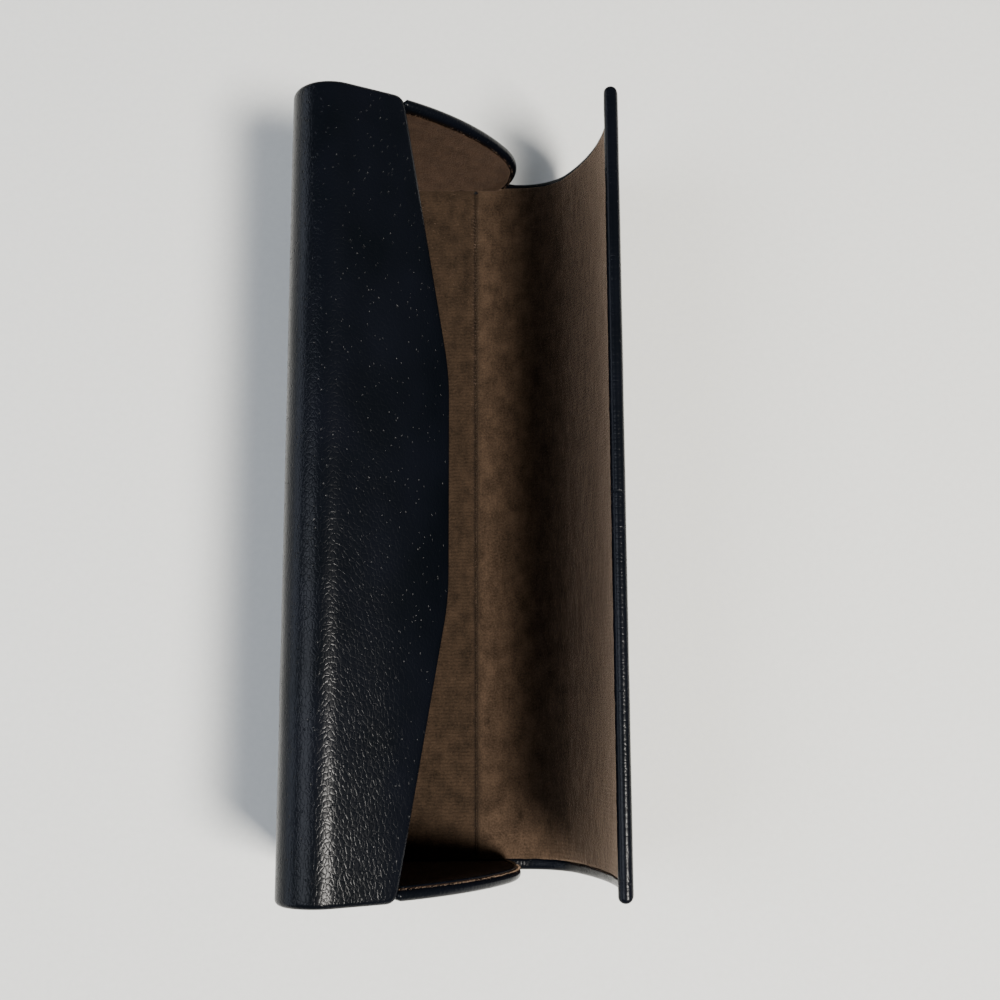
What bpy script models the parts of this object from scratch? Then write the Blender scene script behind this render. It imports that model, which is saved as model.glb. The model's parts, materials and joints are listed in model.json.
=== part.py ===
"""Hard magnetic spectacle case, standing open.

A formed back shell carries a fixed top flap and two end panels. A curved lid is hinged along
the base by one strip of leather and closes over the flap, where hidden magnets hold it.
Every wall is a stack: leather cover, stiff board, suede lining, with the leather turned in
round the edges of the board.

Frame: metres, +Z up, X across the open case, Y along it, origin under the middle of the case.
"""
from math import acos, asin, cos, pi, radians, sin, sqrt

import bmesh
import bpy
from mathutils import Matrix, Vector

MM = 0.001
GAP = 0.3 * MM

# Build-up of a wall, counted inwards from the outside of the leather
LEATHER = 0.6 * MM
BOARD = (LEATHER + GAP, LEATHER + GAP + 0.6 * MM)
LINING = (BOARD[1] + GAP, BOARD[1] + GAP + 0.5 * MM)
WALL = LINING[1]

# Back shell and flap
HALF_LENGTH = 80.0 * MM
BACK_X = -33.5 * MM
SHELL_EDGE_X = 9.6 * MM
LOW_CORNER_R = 8.0 * MM
HIGH_CORNER_R = 8.1 * MM
FLAP_SLOPE = radians(28)
TONGUE_CLEARANCE = 1.0 * MM
TONGUE_X = -1.15 * MM
TONGUE_STRAIGHT = 18.0 * MM
TONGUE_BLEND = 28.0 * MM
TONGUE_TAPER = 0.165
FLAP_CORNER_R = 2.0 * MM
FLAP_HEM = 2.6 * MM
SHELL_END_HEM = 2.5 * MM
CREASE_X = 3.6 * MM

# Lid, drawn open: a flat strip by the hinge, a tight bend, then a long shallow curve
HINGE_X = 11.4 * MM
HINGE_Z = 0.95 * MM
CLOSING_ANGLE = radians(48)
LID_HALF_LENGTH = 79.4 * MM
LID_START_X = 12.5 * MM
LID_BEND_X = 14.2 * MM
LID_BEND_R = 13.8 * MM
LID_BEND = radians(62)
LID_CURVE_R = 62.3 * MM
LID_RIM_HEADING = radians(103.4)
LID_RIM_HEM = 2.0 * MM
LID_END_HEM = 1.8 * MM

# End panels
PANEL_FACE_Y = 79.7 * MM
PANEL_HEM = 2.6 * MM
PANEL_FRONT_R = 20.0 * MM
PANEL_FRONT_X = 12.95 * MM
PANEL_FROM_FLAP = 0.4 * MM

# Hidden closure: flat magnets in windows of the flap board, steel plates in the lid board
CLOSURE_Y = 11.0 * MM
MAGNET = (4.0 * MM, 10.0 * MM)
KEEPER = (6.0 * MM, 14.0 * MM)
MAGNET_FROM_EDGE = 5.2 * MM

# Hinge strips, which bend where the lid turns
HINGE_LEATHER = (0.1 * MM, LEATHER)
HINGE_HALF_LENGTH = 76.4 * MM

ARC_STEP = radians(9)


def clear_scene():
    for obj in list(bpy.data.objects):
        bpy.data.objects.remove(obj, do_unlink=True)


def make_material(name, colour, roughness, metallic=0.0):
    material = bpy.data.materials.new(name)
    material.use_nodes = True
    shader = material.node_tree.nodes["Principled BSDF"]
    shader.inputs["Base Color"].default_value = (*colour, 1.0)
    shader.inputs["Roughness"].default_value = roughness
    shader.inputs["Metallic"].default_value = metallic
    return material


class Path:
    """A section line of straight and round stretches, walked by distance from its start.

    side is +1 if the inside of the case is on the left of the walk, -1 if on the right.
    """

    def __init__(self, x, z, heading, side):
        self.stretches = []
        self.x, self.z, self.heading, self.side = x, z, heading, side
        self.length = 0.0
        self.marks = [0.0]

    def add(self, length, turn=0.0):
        """Add a stretch that turns evenly towards the inside by an angle."""
        self.stretches.append((self.length, self.x, self.z, self.heading, length, turn))
        steps = max(1, round(turn / ARC_STEP))
        self.marks += [self.length + length * i / steps for i in range(1, steps + 1)]
        self.length += length
        self.x, self.z, self.heading = self._walk(self.stretches[-1], length)

    def _walk(self, stretch, distance):
        _, x, z, heading, length, turn = stretch
        angle = self.side * turn * distance / length
        if abs(angle) < 1e-9:
            return x + distance * cos(heading), z + distance * sin(heading), heading
        radius = distance / angle
        return (x + radius * (sin(heading + angle) - sin(heading)),
                z - radius * (cos(heading + angle) - cos(heading)),
                heading + angle)

    def at(self, distance, depth=0.0):
        """The point at a distance along the line and a depth inwards from it."""
        stretch = [s for s in self.stretches if s[0] <= distance + 1e-9][-1]
        x, z, heading = self._walk(stretch, distance - stretch[0])
        return x - self.side * depth * sin(heading), z + self.side * depth * cos(heading)


def turned(x, z, angle):
    """A section point turned about the hinge, positive towards closed."""
    dx, dz = x - HINGE_X, z - HINGE_Z
    return (HINGE_X + dx * cos(angle) - dz * sin(angle),
            HINGE_Z + dx * sin(angle) + dz * cos(angle))


def lid_path():
    path = Path(LID_START_X, 0.0, 0.0, 1)
    path.add(LID_BEND_X - LID_START_X)
    path.add(LID_BEND_R * LID_BEND, LID_BEND)
    path.add(LID_CURVE_R * (LID_RIM_HEADING - LID_BEND), LID_RIM_HEADING - LID_BEND)
    return path


def closed_lid_centre():
    """Where the centre of the lid's long curve comes to rest when the lid is shut."""
    bend_centre_x, bend_centre_z = LID_BEND_X, LID_BEND_R
    offset = LID_CURVE_R - LID_BEND_R
    return turned(bend_centre_x - offset * sin(LID_BEND),
                  bend_centre_z + offset * cos(LID_BEND), CLOSING_ANGLE)


def shell_path():
    """Outside of the base, back wall and flap, walked from the hinge to past the tongue."""
    centre_x, centre_z = closed_lid_centre()
    tongue_r = LID_CURVE_R - WALL - TONGUE_CLEARANCE
    bend_x = centre_x + tongue_r * sin(FLAP_SLOPE)
    bend_z = centre_z + tongue_r * cos(FLAP_SLOPE)
    corner_x = BACK_X + HIGH_CORNER_R
    slope_x = corner_x + HIGH_CORNER_R * sin(FLAP_SLOPE)
    slope_z = bend_z + (bend_x - slope_x) * sin(FLAP_SLOPE) / cos(FLAP_SLOPE)
    corner_z = slope_z - HIGH_CORNER_R * cos(FLAP_SLOPE)

    path = Path(SHELL_EDGE_X, 0.0, pi, -1)
    path.add(SHELL_EDGE_X - (BACK_X + LOW_CORNER_R))
    path.add(LOW_CORNER_R * pi / 2, pi / 2)
    path.add(corner_z - LOW_CORNER_R)
    path.add(HIGH_CORNER_R * (pi / 2 + FLAP_SLOPE), pi / 2 + FLAP_SLOPE)
    path.add((bend_x - slope_x) / cos(FLAP_SLOPE))
    tongue_start = path.length
    end_slope = asin((TONGUE_X - centre_x) / tongue_r)
    path.add(tongue_r * (end_slope - FLAP_SLOPE), end_slope - FLAP_SLOPE)
    return path, tongue_start, (centre_x, centre_z, tongue_r)


LID = lid_path()
SHELL, TONGUE_START, TONGUE_ARC = shell_path()


def flap_end(y):
    """Distance along the shell at which the flap stops, at a place along the case."""
    away = abs(y)
    blend = TONGUE_BLEND - TONGUE_STRAIGHT
    past = min(max(away - TONGUE_STRAIGHT, 0.0), blend)
    drawn_in = TONGUE_TAPER * (past * past / (2 * blend) + max(away - TONGUE_BLEND, 0.0))
    centre_x, _, tongue_r = TONGUE_ARC
    slope = asin((TONGUE_X - drawn_in - centre_x) / tongue_r)
    end = TONGUE_START + tongue_r * (slope - FLAP_SLOPE)
    corner = max(away - (HALF_LENGTH - FLAP_CORNER_R), 0.0)
    return end - FLAP_CORNER_R + sqrt(max(FLAP_CORNER_R ** 2 - corner ** 2, 0.0))


def place_shell(u, y, depth):
    """Map a distance along the longest section to the real, tapered one."""
    hold = TONGUE_START - HIGH_CORNER_R
    rim = 2 * FLAP_HEM
    if u > hold:
        end = flap_end(y)
        if u >= SHELL.length - rim:
            u = end - (SHELL.length - u)
        else:
            u = hold + (u - hold) * (end - rim - hold) / (SHELL.length - rim - hold)
    x, z = SHELL.at(u, depth)
    return x, y, z


def place_lid(u, y, depth):
    x, z = LID.at(u, depth)
    return x, y, z


def block(name, us, ys, depths, filled, place, material):
    """Make one closed body from the filled cells of a grid bent onto a curved wall."""
    us, ys, depths = sorted(set(us)), sorted(set(ys)), sorted(set(depths))
    sizes = (len(us) - 1, len(ys) - 1, len(depths) - 1)

    def middle(levels, i):
        return (levels[i] + levels[i + 1]) / 2

    cells = set()
    for i in range(sizes[0]):
        for j in range(sizes[1]):
            for k in range(sizes[2]):
                if filled(middle(us, i), middle(ys, j), middle(depths, k)):
                    cells.add((i, j, k))

    mesh = bmesh.new()
    corners = {}

    def corner(i, j, k):
        if (i, j, k) not in corners:
            corners[i, j, k] = mesh.verts.new(place(us[i], ys[j], depths[k]))
        return corners[i, j, k]

    for cell in cells:
        for axis in range(3):
            for step in (0, 1):
                beside = list(cell)
                beside[axis] += 2 * step - 1
                if tuple(beside) in cells:
                    continue
                first, second = [a for a in range(3) if a != axis]
                loop = []
                for a, b in ((0, 0), (1, 0), (1, 1), (0, 1)):
                    at = list(cell)
                    at[axis] += step
                    at[first] += a
                    at[second] += b
                    loop.append(corner(*at))
                mesh.faces.new(loop)
    return finish(name, mesh, material)


def finish(name, mesh, material):
    """Turn the faces outwards, shade the round parts smooth and link the object."""
    bmesh.ops.recalc_face_normals(mesh, faces=mesh.faces)
    data = bpy.data.meshes.new(name)
    mesh.to_mesh(data)
    mesh.free()
    data.shade_smooth()
    data.set_sharp_from_angle(angle=radians(35))
    data.materials.append(material)
    obj = bpy.data.objects.new(name, data)
    bpy.context.collection.objects.link(obj)
    return obj


def mirrored(values):
    return [-v for v in values] + list(values)


def between(value, low, high):
    return low <= value <= high


def shell_corner_lines():
    """Places along the case where the flap's edge bends, for the grid of a shell layer."""
    blend = TONGUE_BLEND - TONGUE_STRAIGHT
    lines = [TONGUE_STRAIGHT + blend * i / 4 for i in range(5)]
    start = HALF_LENGTH - FLAP_CORNER_R
    lines += [start + FLAP_CORNER_R * sin(radians(a)) for a in (0, 35, 65)]
    return lines


def inner_marks(path, low, high):
    return [mark for mark in path.marks if low < mark < high]


def cover_block(name, path, place, half_length, hems, lines_y, material):
    """Leather over a shell, turned in round its free edge and both ends."""
    end, (hem_u, hem_y) = path.length, hems
    us = [0.0, end - hem_u, end - LEATHER, end] + inner_marks(path, 0, end - hem_u)
    ys = mirrored(lines_y + [half_length - hem_y, half_length - LEATHER, half_length])

    def filled(u, y, depth):
        edge = u > end - LEATHER or abs(y) > half_length - LEATHER
        hem = u > end - hem_u or abs(y) > half_length - hem_y
        return depth < LEATHER or edge or (hem and depth > LINING[0])

    return block(name, us, ys, [0.0, LEATHER, LINING[0], WALL], filled, place, material)


def sheet_block(name, path, place, span, half_length, depths, lines_y, material, windows=()):
    """A plain layer of a wall over a span of its path, with any windows left open in it."""
    us = list(span) + inner_marks(path, *span)
    ys = mirrored([y for y in lines_y if y < half_length] + [half_length])
    for (low_u, high_u), (low_y, high_y) in windows:
        us += [low_u, high_u]
        ys += [low_y, high_y]

    def filled(u, y, depth):
        return not any(between(u, *span_u) and between(y, *span_y) for span_u, span_y in windows)

    return block(name, us, ys, depths, filled, place, material)


def plate_span(middle_u, y, size, margin=0.0):
    """The stretch of wall that a closure plate takes, or its window with a margin."""
    half_u, half_y = size[0] / 2 + margin, size[1] / 2 + margin
    return (middle_u - half_u, middle_u + half_u), (y - half_y, y + half_y)


def panel_outline():
    """End panel in section: inside the shell all round, up past the flap's end, then its free edge.

    The free edge is level with the flap and concentric with the closed lid, then turns down in
    front on a smaller radius to meet the base.
    """
    inside = WALL + GAP
    centre_x, centre_z, tongue_r = TONGUE_ARC
    along = (flap_end(PANEL_FACE_Y - WALL) - TONGUE_START + PANEL_FROM_FLAP) / tongue_r
    slope = FLAP_SLOPE + along
    under_r = tongue_r - inside
    points = [SHELL.at(u, inside) for u in inner_marks(SHELL, 0, TONGUE_START + tongue_r * along)]
    points.append((centre_x + under_r * sin(slope), centre_z + under_r * cos(slope)))

    front_x = PANEL_FRONT_X - PANEL_FRONT_R
    meeting = asin((front_x - centre_x) / (tongue_r - PANEL_FRONT_R))
    front_z = centre_z + (tongue_r - PANEL_FRONT_R) * cos(meeting)
    foot = acos((inside - front_z) / PANEL_FRONT_R)
    points += arc(centre_x, centre_z, tongue_r, slope, meeting, 6)
    points += arc(front_x, front_z, PANEL_FRONT_R, meeting, foot, 8)[1:]
    return points


def arc(x, z, radius, start, end, steps):
    """Points on an arc, with angles measured from straight up towards +X."""
    angles = [start + (end - start) * i / steps for i in range(steps + 1)]
    return [(x + radius * sin(a), z + radius * cos(a)) for a in angles]


def inset(points, distance):
    """The outline drawn in by a distance, its corners kept sharp; it runs clockwise."""
    moved = []
    for i, here in enumerate(points):
        before = Vector(points[i - 1])
        after = Vector(points[(i + 1) % len(points)])
        here = Vector(here)
        first = (here - before).normalized()
        second = (after - here).normalized()
        inward = Vector((first.y + second.y, -first.x - second.x)).normalized()
        reach = distance / inward.dot(Vector((first.y, -first.x)))
        moved.append(here + inward * reach)
    return moved


def panel_block(name, side, rings, material):
    """A closed body skinned over rings, each an inset and a depth, and capped at both ends."""
    outline = panel_outline()
    mesh = bmesh.new()
    loops = []
    for distance, depth in rings:
        y = side * (PANEL_FACE_Y - depth)
        loops.append([mesh.verts.new((p.x, y, p.y)) for p in inset(outline, distance)])
    for first, second in zip(loops, loops[1:]):
        for i in range(len(first)):
            j = (i + 1) % len(first)
            mesh.faces.new((first[i], first[j], second[j], second[i]))
    mesh.faces.new(loops[0])
    mesh.faces.new(loops[-1])
    return finish(name, mesh, material)


def build_shell(leather, board, suede, metal):
    end = SHELL.length
    lines = shell_corner_lines()
    board_end = end - LEATHER - GAP
    magnet_u = end - MAGNET_FROM_EDGE
    sides = {"left": -CLOSURE_Y, "right": CLOSURE_Y}
    windows = [plate_span(magnet_u, y, MAGNET, GAP) for y in sides.values()]
    cover_block("shell_cover", SHELL, place_shell, HALF_LENGTH, (FLAP_HEM, SHELL_END_HEM), lines, leather)
    sheet_block("shell_board", SHELL, place_shell, (GAP, board_end), HALF_LENGTH - LEATHER - GAP,
                BOARD, lines, board, windows)

    lining_half = HALF_LENGTH - SHELL_END_HEM - GAP
    crease_u = SHELL_EDGE_X - CREASE_X + GAP / 2
    corner_u = SHELL_EDGE_X - (BACK_X + LOW_CORNER_R)
    flap_stop = end - FLAP_HEM - GAP
    sheet_block("base_lining", SHELL, place_shell, (crease_u, corner_u - GAP), lining_half,
                LINING, [], suede)
    sheet_block("wall_lining", SHELL, place_shell, (corner_u, flap_stop), lining_half,
                LINING, lines, suede)
    for side, y in sides.items():
        span_u, span_y = plate_span(magnet_u, y, MAGNET)
        block("flap_magnet_" + side, span_u, span_y, BOARD, lambda u, y, depth: True,
              place_shell, metal)


def build_end_panels(leather, board, suede):
    for side, sign in (("left", -1), ("right", 1)):
        cover = [(0.0, 0.0), (0.0, WALL), (PANEL_HEM, WALL), (PANEL_HEM, LINING[0]),
                 (LEATHER, LINING[0]), (LEATHER, LEATHER)]
        board_inset = LEATHER + GAP
        lining_inset = PANEL_HEM + GAP
        panel_block("end_panel_cover_" + side, sign, cover, leather)
        panel_block("end_panel_board_" + side, sign, [(board_inset, d) for d in BOARD], board)
        panel_block("end_panel_lining_" + side, sign, [(lining_inset, d) for d in LINING], suede)


def build_lid(leather, board, suede, metal):
    """The lid's pieces, drawn open and hung from an empty on the hinge axis."""
    end = LID.length
    hinge = bpy.data.objects.new("lid_hinge_axis", None)
    hinge.location = (HINGE_X, 0.0, HINGE_Z)
    bpy.context.collection.objects.link(hinge)

    centre_x, _, tongue_r = TONGUE_ARC
    edge_slope = asin((TONGUE_X - centre_x) / tongue_r)
    magnet_slope = edge_slope - MAGNET_FROM_EDGE / tongue_r
    heading_when_open = pi - magnet_slope - CLOSING_ANGLE
    keeper_u = end - LID_CURVE_R * (LID_RIM_HEADING - heading_when_open)
    sides = {"left": -CLOSURE_Y, "right": CLOSURE_Y}
    windows = [plate_span(keeper_u, y, KEEPER, GAP) for y in sides.values()]

    pieces = [
        cover_block("lid_cover", LID, place_lid, LID_HALF_LENGTH, (LID_RIM_HEM, LID_END_HEM), [], leather),
        sheet_block("lid_board", LID, place_lid, (GAP, end - LEATHER - GAP),
                    LID_HALF_LENGTH - LEATHER - GAP, BOARD, [], board, windows),
        sheet_block("lid_lining", LID, place_lid, (0.0, end - LID_RIM_HEM - GAP),
                    LID_HALF_LENGTH - LID_END_HEM - GAP, LINING, [], suede),
    ]
    for side, y in sides.items():
        span_u, span_y = plate_span(keeper_u, y, KEEPER)
        pieces.append(block("lid_keeper_" + side, span_u, span_y, BOARD, lambda u, y, depth: True,
                            place_lid, metal))
    for piece in pieces:
        piece.data.transform(Matrix.Translation(-hinge.location))
        piece.parent = hinge


def build_hinge(leather, suede):
    """The two strips that join the shell to the lid: leather outside, suede inside."""
    strips = (("hinge_leather", SHELL_EDGE_X + GAP, HINGE_LEATHER, leather),
              ("hinge_lining", CREASE_X + GAP / 2, LINING, suede))
    for name, start_x, depths, material in strips:
        block(name, (start_x, LID_START_X - GAP), (-HINGE_HALF_LENGTH, HINGE_HALF_LENGTH), depths,
              lambda x, y, z: True, lambda x, y, z: (x, y, z), material)


def main():
    clear_scene()
    leather = make_material("leather", (0.012, 0.014, 0.018), 0.45)
    board = make_material("board", (0.32, 0.27, 0.21), 0.9)
    suede = make_material("suede", (0.09, 0.055, 0.036), 0.95)
    metal = make_material("plated_steel", (0.62, 0.62, 0.63), 0.3, 1.0)
    build_shell(leather, board, suede, metal)
    build_end_panels(leather, board, suede)
    build_lid(leather, board, suede, metal)
    build_hinge(leather, suede)


main()
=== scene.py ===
"""Looks of a hard spectacle case: grained black leather over board, brown suede inside."""

import json
from math import acos, asin, cos, exp, pi, radians, sin, sqrt
from random import Random

import bmesh
import bpy
from mathutils import Matrix, Vector, noise
from mathutils.geometry import delaunay_2d_cdt


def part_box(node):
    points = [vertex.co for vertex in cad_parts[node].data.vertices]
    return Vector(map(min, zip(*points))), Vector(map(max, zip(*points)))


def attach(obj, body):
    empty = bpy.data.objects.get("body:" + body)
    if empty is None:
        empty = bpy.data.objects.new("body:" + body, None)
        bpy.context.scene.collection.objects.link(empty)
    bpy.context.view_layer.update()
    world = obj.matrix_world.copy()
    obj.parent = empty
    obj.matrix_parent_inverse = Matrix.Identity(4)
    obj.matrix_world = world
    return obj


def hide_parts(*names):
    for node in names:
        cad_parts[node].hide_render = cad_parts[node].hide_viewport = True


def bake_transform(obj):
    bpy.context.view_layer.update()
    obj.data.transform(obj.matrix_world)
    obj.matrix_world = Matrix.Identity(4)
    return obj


MM = 0.001

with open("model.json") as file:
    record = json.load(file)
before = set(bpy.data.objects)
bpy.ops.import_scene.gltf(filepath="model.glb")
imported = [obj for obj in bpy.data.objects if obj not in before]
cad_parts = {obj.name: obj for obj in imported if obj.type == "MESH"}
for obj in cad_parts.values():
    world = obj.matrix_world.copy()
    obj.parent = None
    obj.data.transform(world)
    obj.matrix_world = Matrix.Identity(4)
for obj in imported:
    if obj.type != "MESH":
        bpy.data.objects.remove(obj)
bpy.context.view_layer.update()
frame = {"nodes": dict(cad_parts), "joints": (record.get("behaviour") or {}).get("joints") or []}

# Places and outer sizes, read from the frame
HINGE_X, _, HINGE_Z = frame["joints"][0]["pos_m"]
CLOSING_ANGLE = radians(frame["joints"][0]["range_deg"][1])
SHELL_LOW, SHELL_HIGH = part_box("shell_cover")
_, LINING_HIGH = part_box("base_lining")
HALF_LENGTH = SHELL_HIGH.y
LID_HALF_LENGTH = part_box("lid_cover")[1].y
CREASE_X = LINING_HIGH.x
WALL = LINING_HIGH.z
_, PANEL_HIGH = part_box("end_panel_cover_right")

# Section of the shell and the lid, as the stiff boards are formed
LOW_CORNER_R = 8.0 * MM
HIGH_CORNER_R = 8.1 * MM
FLAP_SLOPE = radians(28)
TONGUE_CLEARANCE = 1.0 * MM
TONGUE_X = -1.15 * MM
TONGUE_STRAIGHT = 18.0 * MM
TONGUE_BLEND = 28.0 * MM
TONGUE_TAPER = 0.165
LID_BEND_X = HINGE_X + 2.8 * MM
LID_BEND_R = 13.8 * MM
LID_BEND = radians(62)
LID_CURVE_R = 62.3 * MM
LID_RIM_HEADING = radians(103.4)
PANEL_FRONT_R = 20.0 * MM
PANEL_FROM_FLAP = -0.3 * MM
PANEL_INSIDE = WALL + 0.3 * MM

# The leather, turned in over the board's edges. A hem is the width turned in.
LEATHER = 0.5 * MM
FOLD_R = WALL / 2
FOLD_ANGLES = (0, 15, 30, 45, 60, 75, 90)
FLAP_CORNER_R = 2.0 * MM
RIM_CORNER_R = 0.9 * MM
RIM_SWELL = 0.30 * MM
RIM_SWELL_REACH = 7.0 * MM
FLAP_HEM = 2.6 * MM
SHELL_END_HEM = 3.3 * MM
LID_RIM_HEM = 2.3 * MM
LID_END_HEM_LEFT = 2.4 * MM
LID_END_HEM_RIGHT = 1.3 * MM
PANEL_HEMS = {"left": (1.0 * MM, 0.9 * MM), "right": (2.5 * MM, 1.4 * MM)}

# The suede, glued inside: how far it stands up, and how its cut edges thin out
SUEDE = 0.22 * MM
SUEDE_PROUD = 0.12 * MM
SUEDE_CORNER_R = 1.2 * MM
SUEDE_EDGE_DROP = 0.3 * MM
SUEDE_EDGE_REACH = 0.5 * MM
EDGE_BAND = 1.6 * MM
EDGE_STEPS = [0.0, 0.12 * MM, 0.3 * MM, 0.6 * MM, 1.0 * MM]

# The crease along the floor, with a raised line beside it on the shell's side
CREASE_DEPTH = 0.70 * MM
CREASE_HALF_WIDTH = 0.55 * MM
CREASE_RIDGE = 0.22 * MM
CREASE_RIDGE_AT = 1.7 * MM
CREASE_RIDGE_HALF_WIDTH = 0.55 * MM
CREASE_FADE = 5.0 * MM

# Loose fibres along the cut edges, drawn coarser than real ones so that they show
FIBRES_AT_A_PLACE = 4
FIBRE_LENGTH = 0.75 * MM
FIBRE_WIDTH = 0.10 * MM

# How the meshes are laid out: FLAP_STRIP follows the flap's edge, and from SHARED_FROM before
# the flap's bend the rows fan out to meet it
FLAP_STRIP = 7.4 * MM
FLAP_REACH = 12.0 * MM
SHARED_FROM = 4.0 * MM
PANEL_TOP_SHARE = 0.6
MIDDLE_STRIPS = 78
NET_TOLERANCE = 1e-6

# Camera: where it stands, and its turns about X, Y and Z in degrees
CAMERA_PLACE = (6.66 * MM, -43.32 * MM, 285.31 * MM)
CAMERA_TURN = (9.233, -0.42, -0.22)

# Studio: a warm lamp above on the right, a cool window on the left and its low, wide sill light
FLOOR_HALF = 1.5
ROOM_STRENGTH = 0.19
SEEN_ROOM_STRENGTH = 1.3
LIGHTS = (
    ("lamp", (0.41, -0.31, 0.93), (0, 0, 0), (0.25, 0.25), 28.0, "#fffaf2"),
    ("window", (-0.52, -0.10, 0.74), (0, 0, 0), (0.5, 0.4), 4.2, "#edf3ff"),
    ("low_window", (-0.85, 0.0, 0.22), (0, 0, 0.03), (1.2, 0.3), 4.2, "#e2ecff"),
)


# ---------------------------------------------------------------- section lines

class Path:
    """A section line of straight and round stretches, walked by distance from its start."""

    def __init__(self, x, z, heading, side):
        self.stretches = []
        self.x, self.z, self.heading, self.side = x, z, heading, side
        self.length = 0.0

    def add(self, length, turn=0.0):
        self.stretches.append((self.length, self.x, self.z, self.heading, length, turn))
        self.length += length
        self.x, self.z, self.heading = self.walk(self.stretches[-1], length)

    def walk(self, stretch, distance):
        _, x, z, heading, length, turn = stretch
        angle = self.side * turn * distance / length
        if abs(angle) < 1e-9:
            return x + distance * cos(heading), z + distance * sin(heading), heading
        radius = distance / angle
        return (x + radius * (sin(heading + angle) - sin(heading)),
                z - radius * (cos(heading + angle) - cos(heading)),
                heading + angle)

    def at(self, distance, depth=0.0):
        stretch = [s for s in self.stretches if s[0] <= distance + 1e-9][-1]
        x, z, heading = self.walk(stretch, distance - stretch[0])
        return x - self.side * depth * sin(heading), z + self.side * depth * cos(heading)


def lid_path():
    """Outside of the lid, from the hinge to its rim: a short flat, a tight bend, a long curve."""
    path = Path(HINGE_X, 0.0, 0.0, 1)
    path.add(LID_BEND_X - HINGE_X)
    path.add(LID_BEND_R * LID_BEND, LID_BEND)
    path.add(LID_CURVE_R * (LID_RIM_HEADING - LID_BEND), LID_RIM_HEADING - LID_BEND)
    return path


def closed_lid_centre():
    """Where the centre of the lid's long curve comes to when the lid is closed."""
    offset = LID_CURVE_R - LID_BEND_R
    dx = LID_BEND_X - offset * sin(LID_BEND) - HINGE_X
    dz = LID_BEND_R + offset * cos(LID_BEND) - HINGE_Z
    return (HINGE_X + dx * cos(CLOSING_ANGLE) - dz * sin(CLOSING_ANGLE),
            HINGE_Z + dx * sin(CLOSING_ANGLE) + dz * cos(CLOSING_ANGLE))


def shell_path():
    """Outside of the base, back and flap; the flap's end follows the closed lid's curve inside."""
    centre_x, centre_z = closed_lid_centre()
    tongue_r = LID_CURVE_R - WALL - TONGUE_CLEARANCE
    bend_x = centre_x + tongue_r * sin(FLAP_SLOPE)
    bend_z = centre_z + tongue_r * cos(FLAP_SLOPE)
    slope_x = SHELL_LOW.x + HIGH_CORNER_R * (1 + sin(FLAP_SLOPE))
    slope_z = bend_z + (bend_x - slope_x) * sin(FLAP_SLOPE) / cos(FLAP_SLOPE)
    corner_z = slope_z - HIGH_CORNER_R * cos(FLAP_SLOPE)
    path = Path(HINGE_X, 0.0, pi, -1)
    path.add(HINGE_X - (SHELL_LOW.x + LOW_CORNER_R))
    path.add(LOW_CORNER_R * pi / 2, pi / 2)
    path.add(corner_z - LOW_CORNER_R)
    path.add(HIGH_CORNER_R * (pi / 2 + FLAP_SLOPE), pi / 2 + FLAP_SLOPE)
    path.add((bend_x - slope_x) / cos(FLAP_SLOPE))
    tongue_start = path.length
    path.add(tongue_r * radians(20), radians(20))
    return path, tongue_start, (centre_x, centre_z, tongue_r)


LID = lid_path()
SHELL, TONGUE_START, TONGUE_ARC = shell_path()


def flap_end(y):
    """Distance along the shell, from the hinge, at which the flap stops."""
    away = abs(y)
    blend = TONGUE_BLEND - TONGUE_STRAIGHT
    past = min(max(away - TONGUE_STRAIGHT, 0.0), blend)
    drawn_in = TONGUE_TAPER * (past * past / (2 * blend) + max(away - TONGUE_BLEND, 0.0))
    centre_x, _, tongue_r = TONGUE_ARC
    slope = asin((TONGUE_X - drawn_in - centre_x) / tongue_r)
    return TONGUE_START + tongue_r * (slope - FLAP_SLOPE)


def section(u, depth):
    """A point of the wall: u counts from the hinge, below 0 over the shell, above 0 over the lid."""
    return LID.at(u, depth) if u > 0 else SHELL.at(-u, depth)


def half_length(u):
    """Half the case's length at a place in the section: the lid is a little shorter."""
    share = min(max(u / (4 * MM) + 0.5, 0.0), 1.0)
    return HALF_LENGTH + (LID_HALF_LENGTH - HALF_LENGTH) * share * share * (3 - 2 * share)


# ---------------------------------------------------------------- mesh helpers

def wobble(x, y, size, seed=0.0):
    """A smooth random height from -1 to 1 with features of a given size."""
    return noise.noise(Vector((x / size, y / size, seed)))


def steps(start, end, spacing):
    count = max(1, round(abs(end - start) / spacing))
    return [start + (end - start) * i / count for i in range(count + 1)]


def unique(levels):
    out = []
    for level in sorted(levels):
        if not out or level - out[-1] > NET_TOLERANCE:
            out.append(level)
    return out


def make_object(name, mesh, material, solidify=0.0):
    """Link a mesh as an object, with a thickness built inwards from its face if one is given."""
    data = bpy.data.meshes.new(name)
    bmesh.ops.remove_doubles(mesh, verts=mesh.verts, dist=NET_TOLERANCE)
    mesh.to_mesh(data)
    mesh.free()
    data.shade_smooth()
    data.materials.append(material)
    obj = bpy.data.objects.new(name, data)
    bpy.context.collection.objects.link(obj)
    if solidify:
        skin = obj.modifiers.new("thickness", "SOLIDIFY")
        skin.thickness = solidify
        skin.offset = -1.0
        skin.use_even_offset = False
    return obj


def apply_modifiers(obj):
    graph = bpy.context.evaluated_depsgraph_get()
    graph.update()
    data = bpy.data.meshes.new_from_object(obj.evaluated_get(graph))
    obj.modifiers.clear()
    obj.data = data


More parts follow.
